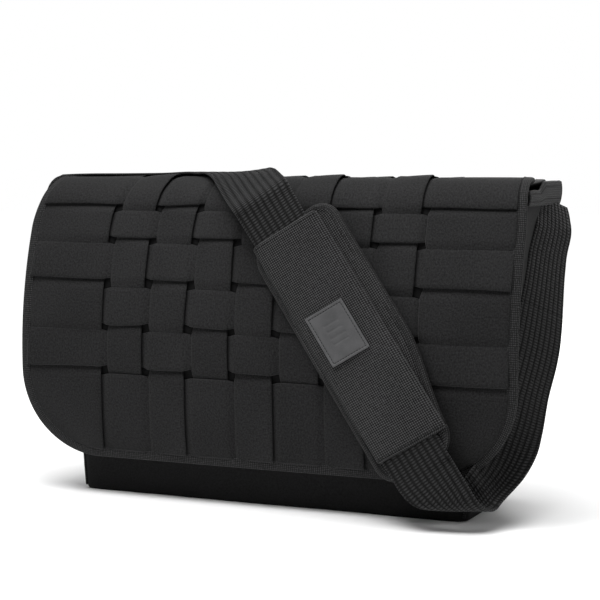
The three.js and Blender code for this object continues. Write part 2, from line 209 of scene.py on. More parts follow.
def cloth(name, colour, pitch, contrast, depth, grain=0.75, sheen=0.04, use_uv=True):
    """Woven cloth: threads, speckle, slow fading over the whole piece and a little sheen; the
    threads also darken the colour between them, which is painted shade.
    """
    nodes = Nodes(name, colour, 0.82, specular=0.15)
    source, axes = nodes.coordinates(use_uv)
    threads = thread_height(nodes, axes, pitch)
    speckle = nodes.noise(source, 0.6 / pitch, 2.0, 0.8)
    fade = nodes.noise(source, 9.0, 2.0)
    # painted shade: the thread heights in mix darken the colour between the threads; the speckle and
    # fading are the cloth's own random tone
    mix = nodes.math("MULTIPLY_ADD", speckle, grain, nodes.math("MULTIPLY", threads, 1 - grain))
    tone = nodes.math("MULTIPLY_ADD", fade, 0.2, nodes.math("MULTIPLY", mix, 0.8))
    colours = nodes.ramp(tone, [
        (0.34, shade(colour, 1 - contrast)),
        (0.62, shade(colour, 1 + contrast)),
    ])
    nodes.link(colours, nodes.shader.inputs["Base Color"])
    rough = nodes.math("MULTIPLY_ADD", speckle, -0.12, 0.88)
    nodes.link(rough, nodes.shader.inputs["Roughness"])
    nodes.bump(mix, 0.6, depth)
    nodes.sheen(sheen)
    return nodes.material


def ribbed(name, colour, rib, pick, depth, grain=0.25):
    """Webbing or tape: long ribs with short cross threads between narrow grooves; the colour follows
    the rib height, with painted shade in the grooves and painted light on the rib tops.
    """
    nodes = Nodes(name, colour, 0.72, specular=0.15)
    source, axes = nodes.coordinates(True)
    side = nodes.math("MULTIPLY", axes[0], math.pi / rib)
    wave = nodes.math("ABSOLUTE", nodes.math("SINE", side))
    ribs = nodes.math("POWER", wave, 0.6)
    step = nodes.math("MULTIPLY", axes[1], math.pi / pick)
    picks = nodes.math("ABSOLUTE", nodes.math("SINE", step))
    height = nodes.math("MULTIPLY", ribs, nodes.math("MULTIPLY_ADD", picks, 0.75, 0.25))
    speckle = nodes.noise(source, 700.0, 2.0, 0.8)
    # painted shade and light: the colour follows the rib and pick heights, near black in the grooves
    # and bright on the rib tops
    tone = nodes.math("MULTIPLY_ADD", speckle, grain, nodes.math("MULTIPLY", height, 1 - grain))
    colours = nodes.ramp(tone, [
        (0.25, shade(colour, 0.03)), (0.55, shade(colour, 0.65)), (0.82, shade(colour, 4.2)),
    ])
    nodes.link(colours, nodes.shader.inputs["Base Color"])
    nodes.bump(height, 0.8, depth)
    nodes.sheen(0.04)
    return nodes.material


def pile(name, colour, scale):
    """The hooks or loops of a touch fastener."""
    nodes = Nodes(name, colour, 0.95, specular=0.15)
    source, _ = nodes.coordinates(False)
    fuzz = nodes.noise(source, scale, 4.0, 0.8)
    colours = nodes.ramp(fuzz, [(0.35, shade(colour, 0.4)), (0.7, shade(colour, 1.8))])
    nodes.link(colours, nodes.shader.inputs["Base Color"])
    nodes.bump(fuzz, 1.0, 0.0012)
    nodes.sheen(0.5)
    return nodes.material


def grained(name, colour, scale, roughness, depth, metallic=0.0, specular=0.4):
    """Leather grain, moulded plastic or worn metal: cells and soft patches of wear."""
    nodes = Nodes(name, colour, roughness, metallic, specular)
    source, _ = nodes.coordinates(False)
    cells = nodes.add("ShaderNodeTexVoronoi", Scale=scale)
    nodes.link(source, cells.inputs["Vector"])
    wear = nodes.noise(source, scale * 0.08, 4.0, 0.6)
    colours = nodes.ramp(wear, [(0.3, shade(colour, 0.8)), (0.7, shade(colour, 1.25))])
    nodes.link(colours, nodes.shader.inputs["Base Color"])
    rough = nodes.math("MULTIPLY_ADD", wear, 0.25, roughness - 0.12)
    nodes.link(rough, nodes.shader.inputs["Roughness"])
    nodes.bump(cells.outputs["Distance"], 0.5, depth)
    return nodes.material


STRIP = cloth("strip_cloth", (0.0112, 0.0112, 0.0115), 0.0009, 0.95, 0.0003)
SHELL = cloth("shell_cloth", (0.0072, 0.0072, 0.0074), 0.0009, 0.45, 0.0002, grain=0.97,
              use_uv=False)
# painted shade: the backing is dark cloth, darkened further to stand in for the shade in the gaps
# between the strips
BACKING = cloth("backing_cloth", (0.003, 0.003, 0.0032), 0.0009, 0.3, 0.0002, sheen=0.0)
CANVAS = cloth("pad_canvas", (0.028, 0.028, 0.0285), 0.0018, 0.95, 0.0009, grain=0.4)
LINING = cloth("lining_cloth", (0.085, 0.09, 0.10), 0.0006, 0.15, 0.0001)
TAPE = ribbed("tape_twill", (0.0145, 0.0145, 0.0148), 0.0014, 0.0017, 0.0003, grain=0.55)
WEBBING = ribbed("webbing_ribs", (0.0064, 0.0064, 0.0066), 0.00556, 0.0023, 0.0014)
THREAD = grained("stitch_thread", (0.010, 0.010, 0.0102), 2500, 0.8, 0.0001, specular=0.15)
LOOPS = pile("loop_pile", (0.02, 0.02, 0.021), 900)
HOOKS = pile("hook_pile", (0.03, 0.03, 0.032), 1300)
LEATHER = grained("patch_leather", (0.060, 0.060, 0.062), 900, 0.55, 0.0002)
PLASTIC = grained("buckle_plastic", (0.012, 0.012, 0.013), 1500, 0.42, 0.0001)
BOARD = grained("board_plastic", (0.04, 0.04, 0.04), 700, 0.6, 0.0001)
METAL = grained("zip_metal", (0.10, 0.10, 0.105), 1200, 0.35, 0.00005, metallic=0.9)


# ---------------------------------------------------------------- mesh tools

def unit(vectors):
    return vectors / np.maximum(np.linalg.norm(vectors, axis=-1, keepdims=True), 1e-9)


def travel(path):
    """The distance covered along a path at each of its points."""
    return np.concatenate([[0], np.cumsum(np.linalg.norm(np.diff(path, axis=0), axis=1))])


def pick(at, places, table):
    """Every column of a table read off at the given places."""
    columns = [np.interp(at, places, table[:, k]) for k in range(table.shape[1])]
    return np.stack(columns, -1)


def ring_faces(count, around):
    """Point numbers of a skin's rings, and the quads that join each ring to the next."""
    index = np.arange(count * around).reshape(count, around)
    following = np.roll(index, -1, axis=1)
    quads = np.stack([index[:-1], following[:-1], following[1:], index[1:]], -1)
    return index, following, quads.reshape(-1, 4)


def stands_for(node):
    """Let a piece replace a CAD node by hiding the node."""
    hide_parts(node)


def catmull(points, count, power=0.0):
    """A Catmull-Rom curve through points; power 0 is uniform and 0.5 is centripetal."""
    p = np.asarray(points, float)
    p = np.vstack([2 * p[0] - p[1], p, 2 * p[-1] - p[-2]])
    gaps = np.linalg.norm(np.diff(p, axis=0), axis=1) ** power
    knots = np.concatenate([[0], np.cumsum(gaps)])
    t = np.linspace(knots[1], knots[-2], count)
    out = np.zeros((count, p.shape[1]))
    spans = np.clip(np.searchsorted(knots, t, side="right") - 1, 1, len(p) - 3)
    for row, (value, i) in enumerate(zip(t, spans)):
        k0, k1, k2, k3 = knots[i - 1:i + 3]
        p0, p1, p2, p3 = p[i - 1:i + 3]
        a1 = (k1 - value) / (k1 - k0) * p0 + (value - k0) / (k1 - k0) * p1
        a2 = (k2 - value) / (k2 - k1) * p1 + (value - k1) / (k2 - k1) * p2
        a3 = (k3 - value) / (k3 - k2) * p2 + (value - k2) / (k3 - k2) * p3
        b1 = (k2 - value) / (k2 - k0) * a1 + (value - k0) / (k2 - k0) * a2
        b2 = (k3 - value) / (k3 - k1) * a2 + (value - k1) / (k3 - k1) * a3
        out[row] = (k2 - value) / (k2 - k1) * b1 + (value - k1) / (k2 - k1) * b2
    return out


def smooth(t):
    t = np.clip(t, 0, 1)
    return t * t * (3 - 2 * t)


def waves(x, y, scale, seed):
    """Slow, repeatable unevenness between about -1 and 1."""
    local = np.random.default_rng(seed)
    total = np.zeros(np.broadcast(x, y).shape)
    for k in range(6):
        angle = local.uniform(0, 2 * math.pi)
        stretch = local.uniform(0.6, 1.8) / scale
        phase = local.uniform(0, 2 * math.pi)
        total = total + np.sin((x * math.cos(angle) + y * math.sin(angle)) * stretch + phase)
    return total / 3


def make_object(name, vertices, faces, material, body, uv=None):
    """A mesh in millimetres, made an object that rides on a CAD body, or stands on its own."""
    mesh = bpy.data.meshes.new(name)
    mesh.from_pydata((np.asarray(vertices, float) * MM).tolist(), [], faces)
    mesh.update()
    mesh.shade_smooth()
    if uv is not None:
        layer = mesh.uv_layers.new(name="UVMap")
        index = np.zeros(len(mesh.loops), int)
        mesh.loops.foreach_get("vertex_index", index)
        layer.data.foreach_set("uv", (np.asarray(uv, float) * MM)[index].ravel())
    mesh.materials.append(material)
    obj = bpy.data.objects.new(name, mesh)
    bpy.context.scene.collection.objects.link(obj)
    if body is not None:
        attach(obj, body)
    return obj


def surface_normals(points):
    across = np.gradient(points, axis=0)
    along = np.gradient(points, axis=1)
    return unit(np.cross(across, along))


def sheet(name, point, us, vs, thickness, material, body, size=(1.0, 1.0)):
    """A closed piece of cloth: two faces about point(u, v), drawn together along the border."""
    u, v = np.meshgrid(us, vs, indexing="ij")
    middle = point(u, v)
    rows, columns = u.shape
    half = np.full(u.shape, thickness / 2.0)
    half[0, :] = half[-1, :] = 0
    half[:, 0] = half[:, -1] = 0
    normals = surface_normals(middle) * half[..., None]
    front = np.arange(rows * columns).reshape(rows, columns)
    back = front.copy()
    inner = np.arange((rows - 2) * (columns - 2)).reshape(rows - 2, columns - 2)
    back[1:-1, 1:-1] = inner + rows * columns
    vertices = np.vstack([
        (middle + normals).reshape(-1, 3), (middle - normals)[1:-1, 1:-1].reshape(-1, 3)])
    faces = []
    for layer, turn in ((front, 1), (back, -1)):
        corners = np.stack([layer[:-1, :-1], layer[1:, :-1], layer[1:, 1:], layer[:-1, 1:]], -1)
        faces += corners.reshape(-1, 4)[:, ::turn].tolist()
    uv = np.stack([u * size[0], v * size[1]], -1)
    uv = np.vstack([uv.reshape(-1, 2), uv[1:-1, 1:-1].reshape(-1, 2)])
    return make_object(name, vertices, faces, material, body, uv)


def lines(count, edge=0.02):
    """Grid lines from 0 to 1 with one extra line close to each end, for a rounded border."""
    return np.concatenate([[0, edge], np.linspace(0, 1, count + 1)[1:-1], [1 - edge, 1]])


def loft(name, rings, material, body):
    """A closed skin through rings of equal length, with a point in the middle of each end."""
    rings = np.asarray(rings, float)
    count, around = rings.shape[:2]
    vertices = np.vstack([rings.reshape(-1, 3), rings[0].mean(0), rings[-1].mean(0)])
    index, following, quads = ring_faces(count, around)
    faces = quads.tolist()
    end = count * around
    faces += [[end, int(b), int(a)] for a, b in zip(index[0], following[0])]
    faces += [[end + 1, int(a), int(b)] for a, b in zip(index[-1], following[-1])]
    return make_object(name, vertices, faces, material, body)


def tube(name, path, frames, section, material, body):
    """Sweep a closed section of (a, b) points along a path with frames of two directions."""
    path = np.asarray(path, float)
    first, second = frames
    section = np.asarray(section, float)
    rings = (path[:, None, :] + section[None, :, :1] * first[:, None, :]
             + section[None, :, 1:] * second[:, None, :])
    count, around = rings.shape[:2]
    index, _, quads = ring_faces(count, around)
    faces = quads.tolist()
    faces.append(index[0][::-1].tolist())
    faces.append(index[-1].tolist())
    uv = np.zeros((count, around, 2))
    uv[..., 0] = section[None, :, 0]
    uv[..., 1] = travel(path)[:, None]
    return make_object(name, rings.reshape(-1, 3), faces, material, body, uv.reshape(-1, 2))


def stitches(name, path, normals, body, pitch=3.4, length=2.3, radius=0.34):
    """A row of short raised stitches along a path on a surface, with one normal or one a point."""
    path = np.asarray(path, float)
    normals = np.broadcast_to(np.asarray(normals, float), path.shape)
    lift = 0.1
    travelled = travel(path)
    centres = np.arange(pitch / 2, travelled[-1], pitch)
    vertices, faces = [], []
    profile = [(-0.5, 0.35), (-0.3, 1.0), (0.3, 1.0), (0.5, 0.35)]
    for centre in centres:
        at = pick(centre, travelled, path)
        ahead = pick(centre + 0.5, travelled, path)
        up = unit(pick(centre, travelled, normals))
        along = unit(ahead - at) if np.linalg.norm(ahead - at) > 1e-6 else unit(path[-1] - path[-2])
        side = unit(np.cross(along, up))
        start = len(vertices)
        for place, width in profile:
            for angle in np.arange(6) * math.pi / 3:
                offset = (side * math.cos(angle) + up * math.sin(angle)) * radius * width
                vertices.append(at + along * place * length + up * lift + offset)
        for ring in range(len(profile) - 1):
            for k in range(6):
                a = start + ring * 6 + k
                b = start + ring * 6 + (k + 1) % 6
                faces.append([a, b, b + 6, a + 6])
        faces.append([start + k for k in range(5, -1, -1)])
        faces.append([start + 18 + k for k in range(6)])
    make_object(name, vertices, faces, THREAD, body)


# ---------------------------------------------------------------- body

def side_x(z):
    return 172 + 40 * z / BODY_TOP


def front_y(z):
    return -56 + 18 * z / FRONT_HEIGHT


def rounded_ring(half, front, rear, radii, height, count=30):
    """Points round a rectangle with corners rounded by (front, rear) radii, in step by ring."""
    corners = [(half, rear, 0), (-half, rear, 1), (-half, front, 2), (half, front, 3)]
    points = []
    for x, y, quarter in corners:
        radius = radii[1] if quarter < 2 else radii[0]
        following = radii[1] if quarter in (0, 3) else radii[0]
        cx = x - math.copysign(radius, x)
        cy = y - radius if quarter < 2 else y + radius
        for step in range(7):
            angle = (quarter + step / 6) * math.pi / 2
            points.append((cx + radius * math.cos(angle), cy + radius * math.sin(angle)))
        nx, ny, _ = corners[(quarter + 1) % 4]
        start = np.array(points[-1])
        if quarter % 2 == 0:
            stop = np.array([nx - math.copysign(following, nx), y])
        else:
            stop = np.array([x, ny - following if ny > 0 else ny + following])
        for t in np.linspace(0, 1, count + 2)[1:-1]:
            points.append(tuple(start + (stop - start) * t))
    points = np.array(points)
    return np.column_stack([points, np.full(len(points), height)])


def rear_radius(z):
    """The rear corners are sharp at the top and slump into a wide curve near the floor."""
    return 9 + 26 * (1 - smooth(z / 110))


def left_slump(z):
    """How far the lower left side of the bag leans out."""
    return LEFT_SLUMP * (1 - smooth(z / 130))


def swell(ring, z, amount, seed):
    """Push a ring of the bag outwards in the middle of its sides, with slow wrinkles."""
    half = side_x(z)
    x, y = ring[:, 0] / half, (ring[:, 1] - 2) / 58
    rise = math.sin(math.pi * np.clip(z / BODY_TOP, 0, 1)) ** 0.7
    across = np.clip(1 - np.abs(x) ** 4, 0, 1)
    deep = np.clip(1 - np.abs(y) ** 4, 0, 1)
    crease = waves(ring[:, 0] + ring[:, 1], np.full(len(ring), z * 1.4), 26, seed)
    out = ring.copy()
    on_face = np.abs(y) > 0.55
    facing = np.where(on_face, np.sign(y), 0)
    out[:, 1] += facing * across * (amount * rise + crease * 0.9)
    out[:, 0] -= left_slump(z) * smooth(-x * 2 - 1)
    siding = np.where(np.abs(x) > 0.9, np.sign(x), 0)
    out[:, 0] += siding * deep * (amount * 0.6 * rise + crease * 1.1)
    return out


def top_height(ring, low, high):
    """The rim climbs from the front edge to the rear edge."""
    share = smooth((ring[:, 1] + 40) / 90)
    return low + (high - low) * share


def bag_shell():
    """One lofted skin: up the outside, over the rim and down the inside."""
    rings = []
    for inset, direction in ((0.0, 1), (2.2, -1)):
        heights = [0.3, 1.5, 4, 8, *np.linspace(16, 240, 24)]
        for z in heights[::direction]:
            pull = 1.2 * max(0, 1 - z / 4) ** 2
            ring = rounded_ring(
                side_x(z) - inset - pull, front_y(z) + inset + pull, REAR_Y - inset - pull,
                (9 - inset, rear_radius(z) - inset), z)
            rings.append(swell(ring, z, 3.0, 3))
        if inset == 0:
            for inner in (0.0, 1.1, 2.2):
                ring = rounded_ring(
                    side_x(250) - inner, front_y(FRONT_HEIGHT) + inner, REAR_Y - inner,
                    (9 - inner, 9 - inner), 0)
                ring[:, 2] = top_height(ring, 248.5, 261.5) + (0.5 if inner == 1.1 else 0)
                rings.append(ring)
    rings[0][:, 2] = 0.0
    rings[-1][:, 2] = 2.4
    shell = loft("bag_shell", rings, SHELL, "bag")
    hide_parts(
        "front_panel", "back_panel", "gusset_left", "gusset_right", "bottom_panel")


def corner_seams():
    """The rolled seams up the four corners of the bag."""
    section = [(1.3 * math.cos(a), 1.3 * math.sin(a)) for a in np.arange(8) * math.pi / 4]
    for side, name in ((-1, "left"), (1, "right")):
        for depth, label in ((-1, "front"), (1, "rear")):
            z = np.linspace(3, 244, 60)
            cut = np.full(60, 2.2) if depth < 0 else 0.28 * rear_radius(z)
            y = front_y(z) + cut if depth < 0 else REAR_Y - cut
            path = np.column_stack([side * (side_x(z) - cut), y, z])
            path[:, 0] += 0.5 * waves(z, z, 30, 5) - (left_slump(z) if side < 0 else 0)
            out = unit(np.array([side, depth, 0.0]))
            frames = (np.tile(out, (60, 1)), np.tile([-out[1], out[0], 0.0], (60, 1)))
            seam = tube(f"corner_seam_{label}_{name}", path, frames, section, TAPE, "bag")


def lining():
    """The inner tub, with a floor that draws in towards its corners."""
    rings = []
    for inset, direction in ((3.4, 1), (4.4, -1)):
        for z in np.linspace(5.4 if direction > 0 else 6.4, 246, 20)[::direction]:
            pull = 4 * max(0, 1 - (z - 5) / 8) ** 2
            rear = 50.4 - (inset - 3.4) - pull
            rings.append(rounded_ring(
                side_x(z) - inset - pull, front_y(z) + inset + pull, rear,
                (8 - pull * 0.5, rear_radius(z) - inset - pull * 0.5), z, 12))
    tub = loft("lining", rings, LINING, "bag")
    stands_for("lining")


def panel(name, corners, thickness, material, body, node=None, crown=0.0, grid=(24, 16)):
    """A soft flat piece between four corners, crowned towards the side its normal points to."""
    a, b, c, d = (np.array(p, float) for p in corners)
    out = unit(np.cross(b - a, d - a))

    def point(u, v):
        flat = (a * ((1 - u) * (1 - v))[..., None] + b * (u * (1 - v))[..., None]
                + c * (u * v)[..., None] + d * ((1 - u) * v)[..., None])
        rise = crown * (np.sin(np.pi * u) * np.sin(np.pi * v)) ** 0.5
        return flat + out * rise[..., None]

    size = (np.linalg.norm(b - a), np.linalg.norm(d - a))
    us = lines(grid[0], thickness * 0.5 / size[0])
    vs = lines(grid[1], thickness * 0.5 / size[1])
    obj = sheet(name, point, us, vs, thickness, material, body, size)
    if node:
        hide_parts(node)
    return obj


def hems():
    """The hem along the top of each side and of the front, with its two rows of stitches."""
    for side, name in ((-1, "left"), (1, "right")):
        def point(u, v, side=side):
            y = -34 + 95.5 * u
            crest = 258.5 + 8.5 * smooth((y + 6) / 18) + 0.8 * waves(y, 0 * y, 9, 12)
            z = 247 + (crest - 247) * v
            fold = 1.9 * np.sin(np.pi * v) ** 0.6 + 0.8 * waves(y, z, 18, 11)
            x = side_x(247) + 2.6 + fold + 0.03 * (z - 247)
            x = x - 3.5 * smooth((u - 0.93) / 0.07)
            return np.stack([side * x, y, z], -1)
        band = sheet(f"gusset_hem_{name}", point, lines(40, 0.012), lines(12, 0.06), 2.2, TAPE,
                     "bag", (95, 19))
        stands_for(f"gusset_hem_{name}")
        for row in (0.28, 0.78):
            u = np.linspace(0.03, 0.92, 60)
            path = point(u, np.full(60, row)) + np.array([side * 1.0, 0, 0])
            stitches(f"gusset_hem_{name}_stitch_{row}", path, (side, 0, 0), "bag")
        low, high = 205, 240
        corner = lambda y, z: (side * (side_x(z) + 1.4), y, z)
        corners = [corner(12, low), corner(58, low), corner(58, high), corner(12, high)]
        if side < 0:
            corners = [corners[1], corners[0], corners[3], corners[2]]
        panel(f"anchor_patch_{name}", corners, 1.3, TAPE, "bag", f"anchor_patch_{name}")
    front = [(-side_x(240) + 8, front_y(234) - 1.2, 234), (side_x(240) - 8, front_y(234) - 1.2, 234),
             (side_x(240) - 8, front_y(249) - 1.2, 249), (-side_x(240) + 8, front_y(249) - 1.2, 249)]
    panel("front_hem", front, 1.4, TAPE, "bag", "front_hem")


def rear_yoke():
    """The fixed strip at the rear of the lid, folded down over the back panel."""
    profile = catmull(
        [(41.5, 264.6), (52, 264.8), (59, 263.6), (61.8, 259), (62, 245), (61.6, 226)], 60)
    share = np.linspace(0, 1, 60)

    def point(u, v):
        y = np.interp(v, share, profile[:, 0])
        z = np.interp(v, share, profile[:, 1])
        x = (2 * u - 1) * YOKE_HALF
        y = y + 0.5 * waves(x, z, 30, 21) * smooth((v - 0.5) * 2)
        return np.stack([x, y, z], -1)

    yoke = sheet("rear_yoke", point, lines(60, 0.002), lines(30, 0.01), 1.6, SHELL, "bag", (416, 60))
    stands_for("rear_yoke")
    for z in (229, 232):
        path = np.linspace((-205, 63.0, z), (205, 63.0, z), 40)
        stitches(f"rear_yoke_stitch_{z}", path, (0, 1, 0), "bag")


def inner_pieces():
    """The foam at the back, the laptop sleeve and the board in the bottom."""
    back = [(150, 54.2, 10), (-150, 54.2, 10), (-200, 54.2, 252), (200, 54.2, 252)]
    padding = panel("back_padding", back, 4.6, CANVAS, "bag", "back_padding")

    def sleeve(u, v):
        x = (2 * u - 1) * 158
        turn = smooth((np.abs(x) - 148) / 9)
        y = 38.3 + 8.5 * turn - 1.2 * np.sin(np.pi * v) * (1 - turn)
        return np.stack([x, y, 8.5 + 187 * v], -1)

    piece = sheet("laptop_sleeve", sleeve, lines(60, 0.006), lines(30, 0.01), 3.4, CANVAS, "bag",
                  (330, 187))
    stands_for("laptop_sleeve")
    paint("base_board", BOARD)


def paint(node, material):
    """Give a CAD object its material."""
    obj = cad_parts[node]
    obj.data.materials.clear()
    obj.data.materials.append(material)
    return obj


def front_pocket():
    """A bellows pocket under the flap, with its hem and the loop half of the fastener."""
    face = [(-119, -70, 41), (119, -70, 41), (119, -70, 165), (-119, -70, 165)]
    panel("pocket_front", face, 1.4, SHELL, "bag", "pocket_front", 1.2)

    path = catmull([(-119, 165), (-119, 100), (-118.5, 46), (-114, 41), (-60, 40.6), (60, 40.6),
                    (114, 41), (118.5, 46), (119, 100), (119, 165)], 160)
    share = np.linspace(0, 1, 160)
    inward = np.column_stack([-np.gradient(path[:, 1]), np.gradient(path[:, 0])])
    inward = unit(inward)

    def bellows(u, v):
        x = np.interp(v, share, path[:, 0])
        z = np.interp(v, share, path[:, 1])
        rear = front_y(z) - 4.2
        y = -68.6 + (rear + 68.6) * u
        fold = 3.2 * np.sin(np.pi * u)
        x = x + fold * np.interp(v, share, inward[:, 0])
        z = z + fold * np.interp(v, share, inward[:, 1])
        return np.stack([x, y, z], -1)

    sides = sheet("pocket_gusset", bellows, lines(10, 0.04), lines(150, 0.002), 1.2, SHELL, "bag",
                  (22, 480))
    stands_for("pocket_gusset")
    hem = [(-119, -72.3, 152), (119, -72.3, 152), (119, -72.3, 165.6), (-119, -72.3, 165.6)]
    panel("pocket_hem", hem, 1.0, TAPE, "bag", "pocket_hem")
    for name, low, high in (("left", -100, -40), ("right", 40, 100)):
        corners = [(low, -72.6, 60), (high, -72.6, 60), (high, -72.6, 110), (low, -72.6, 110)]
        panel(f"loop_patch_{name}", corners, 1.2, LOOPS, "bag", f"loop_patch_{name}")


def zip_fastener():
    """A coil zip across the front; slider, pull and buckle keep their CAD shapes, edges rounded."""
    z, half = 203, 128
    lean = lambda height, out: front_y(height) - out
    tape = [(-half, lean(190, 3.6), 190), (half, lean(190, 3.6), 190),
            (half, lean(216, 3.6), 216), (-half, lean(216, 3.6), 216)]
    panel("zip_tape", tape, 0.8, TAPE, "bag", "zip_tape", grid=(40, 8))
    vertices, faces = [], []
    for k, x in enumerate(np.arange(-120, 120, 1.7)):
        shift = 0.9 if k % 2 else -0.9
        start = len(vertices)
        for dx in (-0.6, 0.6):
            for dz in (-2.1, 2.1):
                for out in (4.2, 5.4):
                    squeeze = 0.75 if out > 5 else 1.0
                    vertices.append((x + dx * squeeze, lean(z, out), z + shift + dz * squeeze))
        quads = [(0, 1, 3, 2), (4, 6, 7, 5), (0, 4, 5, 1), (2, 3, 7, 6), (0, 2, 6, 4), (1, 5, 7, 3)]
        faces += [[start + i for i in quad] for quad in quads]
    chain = make_object("zip_chain", vertices, faces, METAL, "bag")
    stands_for("zip_chain")
    for node, material in (("zip_slider", METAL), ("zip_pull", METAL),
                           ("buckle_frame", PLASTIC), ("buckle_lever", PLASTIC)):
        obj = paint(node, material)
        bevel = obj.modifiers.new("rounded", "BEVEL")
        bevel.width = 0.0009 if "buckle" in node else 0.0004
        bevel.segments = 3
        bevel.limit_method = "ANGLE"


# ---------------------------------------------------------------- flap

curve = catmull(FLAP_PROFILE, 900)
curve_length = travel(curve)
FLAP_LENGTH = curve_length[-1]
HEM_LINE = FLAP_LENGTH - BINDING
ROW_LINES = [FIRST_ROW + row * ROW_PITCH for row in range(ROW_COUNT)]
ROW_STARTS = [
    max(2.5, line + (7 if row == CREST_ROW + 1 else 0)) for row, line in enumerate(ROW_LINES)]
curve_normal = unit(np.gradient(curve, axis=0))
curve_normal = np.column_stack([curve_normal[:, 1], -curve_normal[:, 0]])


def row_end(row):
    if row == ROW_COUNT - 1:
        return HEM_LINE + 1
    extra = {0: 3.0, CREST_ROW: 9.0}.get(row, 0.0)
    return ROW_LINES[row] + ROW_HEIGHT + extra


def on_flap(x, along, height):
    """Where a point of the flat flap lies; the cloth swells and ripples a little."""
    crest = smooth(along / 40) * (1 - smooth((along - 62) / 66))
    x = x * (1 - CREST_DRAWN_IN * crest) + CREST_SHIFT * crest
    ripple = 1.2 * waves(x, along, 60, 31) * smooth(along / 60)
    height = height + 0.6 * ripple
    y = np.interp(along, curve_length, curve[:, 0])
    z = np.interp(along, curve_length, curve[:, 1])
    ny = np.interp(along, curve_length, curve_normal[:, 0])
    nz = np.interp(along, curve_length, curve_normal[:, 1])
    return np.stack([x, y + ny * height, z + nz * height], -1)


def flap_edge(along, inset=0.0):
    """Half of the flap's width: narrow between the gussets, then wide, with rounded corners."""
    radius = FLAP_CORNER - inset
    past = np.clip(along - (FLAP_LENGTH - FLAP_CORNER), 0, radius)
    narrowed = LID_NARROWING * (1 - smooth((along - LID_STRAIGHT) / (LID_FLARE - LID_STRAIGHT)))
    return FLAP_HALF - FLAP_CORNER + np.sqrt(np.maximum(radius ** 2 - past ** 2, 0)) - narrowed


def column_span(column, along):
    """Left and right edges of a column of the weave."""
    edge = flap_edge(along, BINDING - TAPE_OVERLAP)
    inner = NARROW_COLUMNS / 2 * COLUMN_PITCH + (COLUMN_PITCH - COLUMN_WIDTH) / 2
    if column == 0:
        return -edge, np.full(along.shape, -inner)
    if column == NARROW_COLUMNS + 1:
        return np.full(along.shape, inner), edge
    centre = (column - (NARROW_COLUMNS + 1) / 2) * COLUMN_PITCH
    low, high = centre - COLUMN_WIDTH / 2, centre + COLUMN_WIDTH / 2
    return np.full(along.shape, low), np.full(along.shape, high)


def across_is_over(row, column):
    return (row + column) % 2 == 0


def flap_backing():
    """The cloth behind the weave, seen in its gaps: a dark cloth, made darker still as painted shade
    in the gaps between the strips.
    """
    def point(u, v):
        along = FLAP_START + v * (HEM_LINE + 2 - FLAP_START)
        return on_flap((2 * u - 1) * flap_edge(along, BINDING - 2), along, -0.8)
    us, vs = lines(60, 0.003), lines(110, 0.003)
    piece = sheet("flap_lining", point, us, vs, 1.2, BACKING, "flap", (440, FLAP_LENGTH))
    stands_for("flap_lining")


def strip_state(levels, spans, value):
    """How far over the crossing strips a strip is, 0 to 1, along its length."""
    stops, heights = [], []
    for (start, stop), level in zip(spans, levels):
        stops += [start + 0.5, stop - 0.5]
        heights += [level, level]
    return smooth(np.interp(value, stops, heights))


def strip_height(u, state, flat):
    """A strip over the others is tucked in along one edge and stands proud along the other."""
    crown = 0.25 * np.sin(np.pi * u) ** 0.6
    tuck = UNDER + 0.5 + (OVER - UNDER) * u ** 0.7
    level = UNDER + (OVER - UNDER) * 0.8 if flat else tuck
    return UNDER + (level - UNDER) * state + crown * (0.2 + 0.8 * state)


def cut_size(point):
    """The mean width and length of a strip in metres, measured along its own surface."""
    u, v = np.meshgrid(np.linspace(0, 1, 9), np.linspace(0, 1, 120), indexing="ij")
    places = point(u, v) * MM
    width = np.linalg.norm(np.diff(places, axis=0), axis=-1).sum(axis=0).mean()
    length = np.linalg.norm(np.diff(places, axis=1), axis=-1).sum(axis=1).mean()
    return float(width), float(length)


def down_strip(column):
    """A strip from the hinge to the hem, over and under the strips that cross it."""
    spans = [(ROW_STARTS[row], row_end(row)) for row in range(ROW_COUNT)]
    levels = [0.0 if across_is_over(row, column) else 1.0 for row in range(ROW_COUNT)]
    wide = column in (0, NARROW_COLUMNS + 1)
    drift, turn = rng.normal(0, 0.7), rng.normal(0, 0.004)

    def point(u, v):
        along = FLAP_START + v * (HEM_LINE + 1 - FLAP_START)
        low, high = column_span(column, along)
        state = strip_state(levels, spans, along)
        wander = 0.7 * waves(along, 0 * along, 22, 100 + column)
        flare = 1.6 * state + 0.5 * wander
        if wide:
            low, high = (low, high + flare) if column == 0 else (low - flare, high)
        else:
            shift = drift + turn * (along - 150) + wander
            low, high = low - flare + shift, high + flare + shift
        edge = flap_edge(along, BINDING - TAPE_OVERLAP)
        low, high = np.maximum(low, -edge), np.minimum(high, edge)
        x = low + (high - low) * u
        return on_flap(x, along, strip_height(u, state, wide and column > 0))

    us = lines(14 if wide else 10, 0.02 if not wide else 0.01)
    vs = lines(150, 0.003)
    name = f"weave_strip_down_{column + 1}"
    piece = sheet(name, point, us, vs, 1.0, STRIP, "flap", (80 if wide else 34, FLAP_LENGTH))
    stands_for(name)
    cut_size(point)


